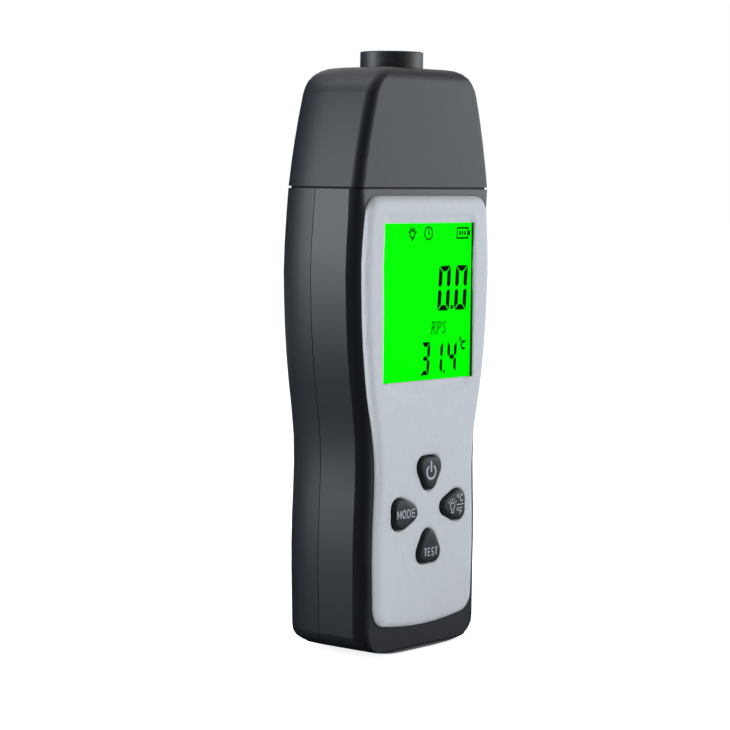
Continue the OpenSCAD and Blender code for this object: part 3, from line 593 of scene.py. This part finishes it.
def keyCentre(angle):
    return (keys["reach"] * cos(radians(angle)),
            keys["midHeight"] + keys["reach"] * sin(radians(angle)))


def fitKey(x, z, angle):
    centreX, centreZ = keyCentre(angle)
    return (centreX + (x - centreX) * keys["squash"][0] + keys["nudge"][angle][0],
            centreZ + (z - centreZ) * keys["squash"][1] + keys["nudge"][angle][1])


def fitKeyHoles(bm):
    for angle in keys["angles"].values():
        centreX, centreZ = keyCentre(angle)
        centre = Vector((centreX, 0, centreZ))
        for vert in bm.verts:
            flat = Vector((vert.co.x / mm, 0, vert.co.z / mm))
            if (flat - centre).length < keys["holeReach"]:
                x, z = fitKey(flat.x, flat.z, angle)
                vert.co.x, vert.co.z = x * mm, z * mm


shells = {"edge": 0.12, "sharp": 33, "groove": 0.09,
          # the front rim beside the panel is drawn in by rimPull, from the depth rimFrom forward
          "rimPull": 1.3, "rimFrom": -6.5, "rimDepth": 4.2, "rimInner": 16.0, "rimFade": 3.0,
          "rimTopFade": 9.0, "rimFootFade": 14.0, "rimFootShare": 0.5}


def openJoint(bm, shift):
    # draws the mating edge back a little, so that the joint between the halves shows as a fine groove
    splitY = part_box("front_case")[1].y
    for vert in bm.verts:
        if abs(vert.co.y - splitY) < making["onPlane"] * mm:
            vert.co.y += shift * mm
    return bm


def easeRim(bm):
    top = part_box("sensor_cap")[0].z / mm
    for vert in bm.verts:
        forward = smoothStep((shells["rimFrom"] - vert.co.y / mm) / shells["rimDepth"])
        outward = smoothStep((abs(vert.co.x) / mm - shells["rimInner"]) / shells["rimFade"])
        below = smoothStep((top - vert.co.z / mm) / shells["rimTopFade"])
        foot = smoothStep(vert.co.z / mm / shells["rimFootFade"])
        pull = shells["rimPull"] * forward * outward * below
        pull *= shells["rimFootShare"] + (1 - shells["rimFootShare"]) * foot
        vert.co.x -= (1 if vert.co.x > 0 else -1) * pull * mm


frontShape = openJoint(meshOfNode("front_case"), -shells["groove"])
fitKeyHoles(frontShape)
easeRim(frontShape)
rearShape = openJoint(meshOfNode("rear_case"), shells["groove"])
for name, shape, look, body, slot, node in (
        ("frontShell", frontShape, "case", "casing", "case_black", "front_case"),
        ("rearShell", rearShape, "case", "casing", "case_black", "rear_case"),
        ("capShell", meshOfNode("sensor_cap"), "cap", "casing", "cap_black", "sensor_cap"),
        ("batteryLid", meshOfNode("battery_cover"), "case", "cover", "case_black", "battery_cover")):
    makePiece(name, shape, finish[look], body, [node], shells["sharp"], shells["edge"])

# the dark step of the joint between casing and cap, seen in the gap
seamLip = {"rise": 0.7, "shift": -0.58, "inset": 0.975}


def buildSeamLip():
    bm = meshOfNode("sensor_cap")
    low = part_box("sensor_cap")[0].z
    bmesh.ops.bisect_plane(bm, geom=bm.verts[:] + bm.edges[:] + bm.faces[:], dist=making["cut"] * mm,
                           clear_outer=True, plane_co=(0, 0, low + seamLip["rise"] * mm), plane_no=(0, 0, 1))
    bmesh.ops.holes_fill(bm, edges=bm.edges)
    bmesh.ops.scale(bm, vec=(seamLip["inset"], seamLip["inset"], 1), verts=bm.verts)
    bmesh.ops.translate(bm, vec=(0, 0, seamLip["shift"] * mm), verts=bm.verts)
    makePiece("seamLip", bm, finish["frame"], "casing")


buildSeamLip()
print("shells done")

panel = {"gridStep": 0.65, "sharp": 40,
         # rounded edges of the key holes and the window, and what tells them apart
         "holeEdge": 0.7, "holeSegments": 4, "windowEdge": 0.25, "windowSegments": 3,
         "edgeSlack": 0.005, "wallTilt": 0.2, "windowMargin": 1.0,
         # the shallow dish round the window, with a smiling lower edge
         "dishDepth": 0.4, "dishSide": 3.8, "dishTop": 2.5, "dishFade": 1.5, "faceDepth": 0.3,
         "smileLow": 57.0, "smileRise": 5.0, "smileHalf": 19.0,
         # the window's walls, which are in the dark: they get a dark colour as painted shade, in place of
         # the panel's own grey
         "shadedWallTilt": 0.3, "shadedWallMargin": 0.5}


def halfWidths(bm, level, step):
    # half the width of the panel's flat face at each row of heights, read off its own outline
    rows = {}
    for co in [v.co for v in bm.verts if abs(v.co.y - level) < making["onPlane"] * mm]:
        row = round(co.z / step)
        rows[row] = max(rows.get(row, 0), abs(co.x))
    return rows


def roundEdges(bm, edges, width, segments):
    bmesh.ops.bevel(bm, geom=edges, offset=width * mm, segments=segments, profile=0.5, affect="EDGES",
                    material=-1, offset_type="OFFSET")


def dishShare(distance, start):
    # 0 outside the dish, 1 in it, and one half at the start of it
    return smoothStep((distance - start) / panel["dishFade"] + 0.5)


def buildPanel():
    bm = meshOfNode("faceplate")
    fitKeyHoles(bm)
    low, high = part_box("faceplate")
    faceY = low.y
    windowLow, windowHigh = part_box("display_window")
    flatEdges = [e for e in bm.edges if len(e.link_faces) == 2
                 and all(abs(v.co.y - faceY) < panel["edgeSlack"] * mm for v in e.verts)
                 and any(abs(f.normal.y) < panel["wallTilt"] for f in e.link_faces)]
    windowEdges = [e for e in flatEdges
                   if all(v.co.z > windowLow.z - panel["windowMargin"] * mm for v in e.verts)]
    holeEdges = [e for e in flatEdges if e not in windowEdges]
    roundEdges(bm, holeEdges, panel["holeEdge"], panel["holeSegments"])
    windowEdges = [e for e in windowEdges if e.is_valid]
    roundEdges(bm, windowEdges, panel["windowEdge"], panel["windowSegments"])

    step = panel["gridStep"] * mm
    for axis in (0, 2):
        cutAcross(bm, axis, low[axis] + step / 2, high[axis], step)
    widths = halfWidths(bm, faceY, step)
    rows = sorted(widths)
    top = max(v.co.z for v in bm.verts if abs(v.co.y - faceY) < making["onPlane"] * mm)
    for vert in bm.verts:
        if vert.co.y > faceY + panel["faceDepth"] * mm:
            continue
        row = min(max(round(vert.co.z / step), rows[0]), rows[-1])
        side = (widths.get(row, widths.get(row - 1, 0)) - abs(vert.co.x)) / mm
        head = (top - vert.co.z) / mm
        bow = panel["smileRise"] * (vert.co.x / (panel["smileHalf"] * mm)) ** 2
        smile = vert.co.z / mm - panel["smileLow"] - bow
        inside = dishShare(side, panel["dishSide"]) * dishShare(head, panel["dishTop"]) * dishShare(smile, 0)
        vert.co.y += panel["dishDepth"] * mm * inside

    piece = makePiece("frontPanel", bm, finish["panel"], "casing", ["faceplate"],
                      panel["sharp"])
    # the walls round the window get the dark colour as painted shade, where the panel's grey falls in shadow
    piece.data.materials.append(finish["windowWallPaintedShade"])
    margin = panel["shadedWallMargin"] * mm
    for face in piece.data.polygons:
        if (abs(face.normal.y) < panel["shadedWallTilt"]
                and windowLow.x - margin < face.center.x < windowHigh.x + margin
                and windowLow.z - margin < face.center.z < windowHigh.z + margin):
            face.material_index = 1


buildPanel()
print("panel done")

display = {"inkY": -10.965, "inkDepth": 0.02, "inkShift": 0.42, "glassBack": -10.99, "faceFront": -10.94,
           "lean": 0.06,
           # rows of digits: each digit with its left and right edge, low and high edge, width of the
           # upright and of the level strokes
           "rows": [([("0", 3.45, 8.4), ("0", 9.5, 14.5)], 76.6, 86.75, 1.35, 1.3),
                    ([("3", -2.35, 1.3), ("1", 2.3, 5.95), ("4", 7.1, 10.9)], 62.3, 69.75, 1.0, 1.1)],
           # decimal points: x, z, width
           "points": [(8.75, 77.35, 0.95), (6.35, 62.8, 0.7)],
           "unitLow": 71.55, "unitScale": 0.88, "unitStroke": 0.40, "unitLean": 0.22}

# the segments' places: gap and the rest in strokes
segment = {"gap": 0.14, "rise": 0.6, "outerRise": 0.5, "barTip": 0.7, "barShoulder": 1.2}

litSegments = {"0": "abcdef", "1": "bc", "3": "abcdg", "4": "bcfg"}

# rows of a stroke's width and its lines
batterySign = [
    (0.66, [([(10.35, 92.9), (14.25, 92.9), (14.25, 95.2), (10.35, 95.2)], True)]),  # case
    (0.55, [([(14.75, 93.55), (14.75, 94.6)], False)]),                              # tip
    (0.6, [([(x, 93.6), (x, 94.5)], False) for x in (11.35, 12.3, 13.25)]),          # charge
]
displaySigns = [
    (0.5, [(circlePoints(-5.6, 93.95, 0.85), True), ([(-5.6, 93.0), (-5.6, 92.35)], False)]),  # lamp
    (0.42, rayLines(-5.6, 93.95, (1.15, 1.1), (1.75, 1.8), (20, 55, 90, 125, 160))),
    (0.45, [(circlePoints(0.1, 94.1, 1.4), True)]),                                            # clock
    (0.42, [([(0.1, 95.1), (0.1, 94.1), (0.75, 93.85)], False)]),
    (0.38, [(circlePoints(12.1, 69.9, 0.46, steps=16), True)]),                                # degree
    (0.62, [(circlePoints(13.3, 68.5, 0.85, 50, 310), False)], 0.12, 68.0),                    # leaning C
]

# the unit's serif letters, each with its left edge
unitLetters = [
    (1.5, [([(0, 0), (0, 2.6)], False), ([(-0.35, 0), (0.35, 0)], False),
           ([(-0.35, 2.6), (0.8, 2.6), (1.25, 2.3), (1.3, 1.9), (1.1, 1.5), (0.7, 1.35), (0, 1.35)], False),
           ([(0.6, 1.35), (1.4, 0), (1.7, 0)], False)]),
    (3.5, [([(0, 0), (0, 2.6)], False), ([(-0.35, 0), (0.35, 0)], False),
           ([(-0.35, 2.6), (0.8, 2.6), (1.25, 2.3), (1.3, 1.9), (1.1, 1.4), (0.7, 1.2), (0, 1.2)], False)]),
    (5.3, [([(1.35, 2.15), (1.1, 2.55), (0.65, 2.65), (0.2, 2.4), (0.15, 1.9), (0.5, 1.5), (1.0, 1.2),
             (1.25, 0.8), (1.15, 0.3), (0.7, 0.0), (0.25, 0.05), (0.0, 0.5)], False)]),
]


def drawDigit(bm, digit, left, right, low, high, strokeX, strokeZ):
    height = high - low
    width = right - left - display["lean"] * height
    gap = segment["gap"] * strokeZ
    tip, shoulder = strokeX * segment["barTip"], strokeX * segment["barShoulder"]
    mid = height / 2
    top = [(gap, height), (width - gap, height), (width - strokeX - gap, height - strokeZ),
           (strokeX + gap, height - strokeZ)]
    upperLeft = [(0, height - gap), (strokeX, height - strokeZ - gap),
                 (strokeX, mid + strokeZ * segment["rise"]), (strokeX / 2, mid + gap),
                 (0, mid + strokeZ * segment["outerRise"])]
    bar = [(tip, mid), (shoulder, mid + strokeZ / 2), (width - shoulder, mid + strokeZ / 2),
           (width - tip, mid), (width - shoulder, mid - strokeZ / 2), (shoulder, mid - strokeZ / 2)]

    def across(points):
        return [(width - x, z) for x, z in points]

    def down(points):
        return [(x, height - z) for x, z in points]

    outlines = {"a": top, "b": across(upperLeft), "c": down(across(upperLeft)), "d": down(top),
                "e": down(upperLeft), "f": upperLeft, "g": bar}
    for name in litSegments[digit]:
        bm.faces.new([bm.verts.new(Vector((left + x + display["lean"] * z, display["inkY"], low + z)) * mm)
                      for x, z in outlines[name]])


def thicken(bm, depth):
    # gives flat faces a depth, towards the front
    result = bmesh.ops.extrude_face_region(bm, geom=bm.faces[:])
    bmesh.ops.translate(bm, vec=backward * -depth * mm, verts=newVertsOf(result))
    bmesh.ops.recalc_face_normals(bm, faces=bm.faces)


def makeInk(name, bm, look):
    bmesh.ops.translate(bm, vec=Vector((display["inkShift"], 0, 0)) * mm, verts=bm.verts)
    makePiece(name, bm, finish[look], "casing")


def buildInk():
    y = display["inkY"]
    bm = bmesh.new()
    for digits, low, high, strokeX, strokeZ in display["rows"]:
        for digit, left, right in digits:
            drawDigit(bm, digit, left, right, low, high, strokeX, strokeZ)
    thicken(bm, display["inkDepth"])
    for x, z, width in display["points"]:
        inkLines(bm, y, width, [([(x, z - width / 2), (x, z + width / 2)], False)])
    for row in batterySign:
        inkLines(bm, y, *row)
    makeInk("displayDigits", bm, "ink")

    bm = bmesh.new()
    for row in displaySigns:
        inkLines(bm, y, *row)
    makeInk("displaySigns", bm, "ink")

    bm = bmesh.new()
    low = display["unitLow"]
    for left, letter in unitLetters:
        placed = [([(left + x * display["unitScale"], low + z) for x, z in points], closed)
                  for points, closed in letter]
        inkLines(bm, y, display["unitStroke"], placed, display["unitLean"], low)
    makeInk("displayUnit", bm, "thinInk")


def buildPane():
    # a thin pane in front, and the lit face of the display close behind it
    middle = sum(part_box("display_window"), Vector()).y / 2
    bm = meshOfNode("display_window")
    for vert in bm.verts:
        if vert.co.y > middle:
            vert.co.y = display["glassBack"] * mm
    makePiece("displayGlass", bm, finish["window"], "casing", ["display_window"])
    bm = meshOfNode("display_window")
    for vert in bm.verts:
        if vert.co.y < middle:
            vert.co.y = display["faceFront"] * mm
    makePiece("displayFace", bm, finish["glow"], "casing")


buildInk()
buildPane()
print("display done")


def keyPoint(angle, turn, grow, y):
    # a point of a rounded triangle that points to the middle of the cluster, at a turn round the key
    along = keys["length"] / 2 + grow
    across = (keys["width"] / 2 + grow) / (1 + keys["lobe"] / 2)
    r = 1 - keys["lobe"] * cos(3 * turn)
    u = along * (r * cos(turn) + keys["lobe"])
    v = across * r * sin(turn)
    a = radians(angle)
    centreX, centreZ = keyCentre(angle)
    x, z = fitKey(centreX + u * cos(a) - v * sin(a), centreZ + u * sin(a) + v * cos(a), angle)
    return Vector((x, y, z)) * mm


def buildKey(name, angle):
    low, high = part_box(name + "_button")
    topY, backY = low.y / mm, high.y / mm
    flangeY = backY - keys["flangeThick"]
    bm = bmesh.new()
    ring = bmesh.ops.create_circle(bm, segments=keys["points"], radius=1.0)["verts"]
    turnOf = {vert: atan2(vert.co.y, vert.co.x) for vert in ring}
    for vert, turn in turnOf.items():
        vert.co = keyPoint(angle, turn, keys["flangeGrow"], backY)
    edges = bm.edges[:]
    bmesh.ops.contextual_create(bm, geom=edges)
    steps = [(keys["flangeGrow"], flangeY), (0.0, flangeY)]
    steps += [(grow, topY + drop) for grow, drop in keys["rings"]]
    for grow, y in steps:
        result = bmesh.ops.extrude_edge_only(bm, edges=edges)
        edges = [g for g in result["geom"] if isinstance(g, bmesh.types.BMEdge)]
        # a new point keeps the turn of the old one that it lies on
        turnOf = {vert: turnOf[min(turnOf, key=lambda old: (old.co - vert.co).length)]
                  for vert in newVertsOf(result)}
        for vert, turn in turnOf.items():
            vert.co = keyPoint(angle, turn, grow, y)
    bmesh.ops.contextual_create(bm, geom=edges)
    bmesh.ops.recalc_face_normals(bm, faces=bm.faces)
    surface = BVHTree.FromBMesh(bm)
    makePiece(name + "Key", bm, finish["key"], name + "_key", [name + "_button"],
              keys["sharp"])
    return surface, topY


# the signs on the keys, drawn standOff in front of the key and dropped on it
labels = {"standOff": 0.5, "lift": 0.025, "spacing": 0.35}

keySigns = {
    "power": [(0.55, [(circlePoints(0.1, 40.7, 1.55, 125, 415), False),
                      ([(0.1, 40.7), (0.1, 43.1)], False)])],
    "mode": [word("MODE", middle=(-8.35, 32.0), height=2.0, width=6.5, stroke=0.32)],
    "test": [word("TEST", middle=(0.35, 22.6), height=2.0, width=4.9, stroke=0.32)],
    "light": [
        (0.3, [(circlePoints(8.0, 32.2, 0.75, -60, 240), False),                      # lamp and its base
               ([(7.65, 31.5), (7.7, 30.6), (8.3, 30.6), (8.35, 31.5)], False)]),
        (0.2, rayLines(8.0, 32.2, (1.1, 1.1), (1.8, 1.8), (35, 62, 90, 118, 145))),
        (0.25, [([(9.5, 32.35), (12.2, 32.35)], False)]),                             # bar between C and F
        word("C", middle=(11.3, 33.8), height=1.8, width=1.35, stroke=0.3),
        word("F", middle=(11.2, 30.8), height=1.8, width=1.2, stroke=0.3),
        (0.22, [(circlePoints(9.95, 34.35, 0.34, steps=16), True),                    # degree signs
                (circlePoints(9.95, 31.3, 0.34, steps=16), True)]),
    ],
}


def buildLabel(name, surface, topY):
    bm = bmesh.new()
    for stroke, lines in keySigns[name]:
        inkLines(bm, topY - labels["standOff"], stroke, lines)
    layOnSurface(bm, surface, labels["lift"], labels["spacing"])
    makePiece(name + "Label", bm, finish["label"], name + "_key")


for keyName, keyAngle in keys["angles"].items():
    keySurface, keyTop = buildKey(keyName, keyAngle)
    buildLabel(keyName, keySurface, keyTop)
print("keys done")

barrel = {"rise": 3.8, "stemInset": 0.5, "rim": 0.35, "innerRimShare": 0.6, "seatWidth": 0.3,
          "lensGap": 0.05, "arcStep": 15, "turns": 96, "lensCrown": 0.25, "domeStep": 10, "lensTurns": 72}


def buildBarrel():
    low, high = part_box("lens_barrel")
    lensLow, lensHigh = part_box("front_lens")
    axis = ((low.x + high.x) / 2 / mm, (low.y + high.y) / 2 / mm)
    outer = (high.x - low.x) / 2 / mm
    stem = outer - barrel["stemInset"]
    lensRadius = (lensHigh.x - lensLow.x) / 2 / mm
    bore = lensRadius - barrel["seatWidth"]
    recess = lensRadius + barrel["lensGap"]
    top, bottom = high.z / mm, low.z / mm
    foot = top - barrel["rise"]
    seat = lensLow.z / mm
    rim = barrel["rim"]
    innerRim = rim * barrel["innerRimShare"]
    arc = [radians(a) for a in range(90, -1, -barrel["arcStep"])]
    rimArc = [(outer - rim + rim * sin(a), top - rim + rim * cos(a)) for a in arc]
    innerArc = [(recess + innerRim * (1 - cos(a)), top - innerRim * (1 - sin(a))) for a in arc]
    profile = ([(bore, bottom), (stem, bottom), (stem, foot), (outer, foot)] + rimArc + innerArc
               + [(recess, seat), (bore, seat), (bore, bottom)])
    bm = bmesh.new()
    spinProfile(bm, profile, axis, barrel["turns"])
    makePiece("barrelTube", bm, finish["barrel"], "casing", ["lens_barrel"])

    crown = barrel["lensCrown"]
    crownFoot = lensHigh.z / mm - crown
    dome = [(lensRadius * sin(radians(a)), crownFoot + crown * cos(radians(a)))
            for a in range(90, -1, -barrel["domeStep"])]
    bm = bmesh.new()
    spinProfile(bm, [(0, seat), (lensRadius, seat)] + dome, axis, barrel["lensTurns"])
    makePiece("frontGlass", bm, finish["lens"], "casing", ["front_lens"])


buildBarrel()
print("barrel done")
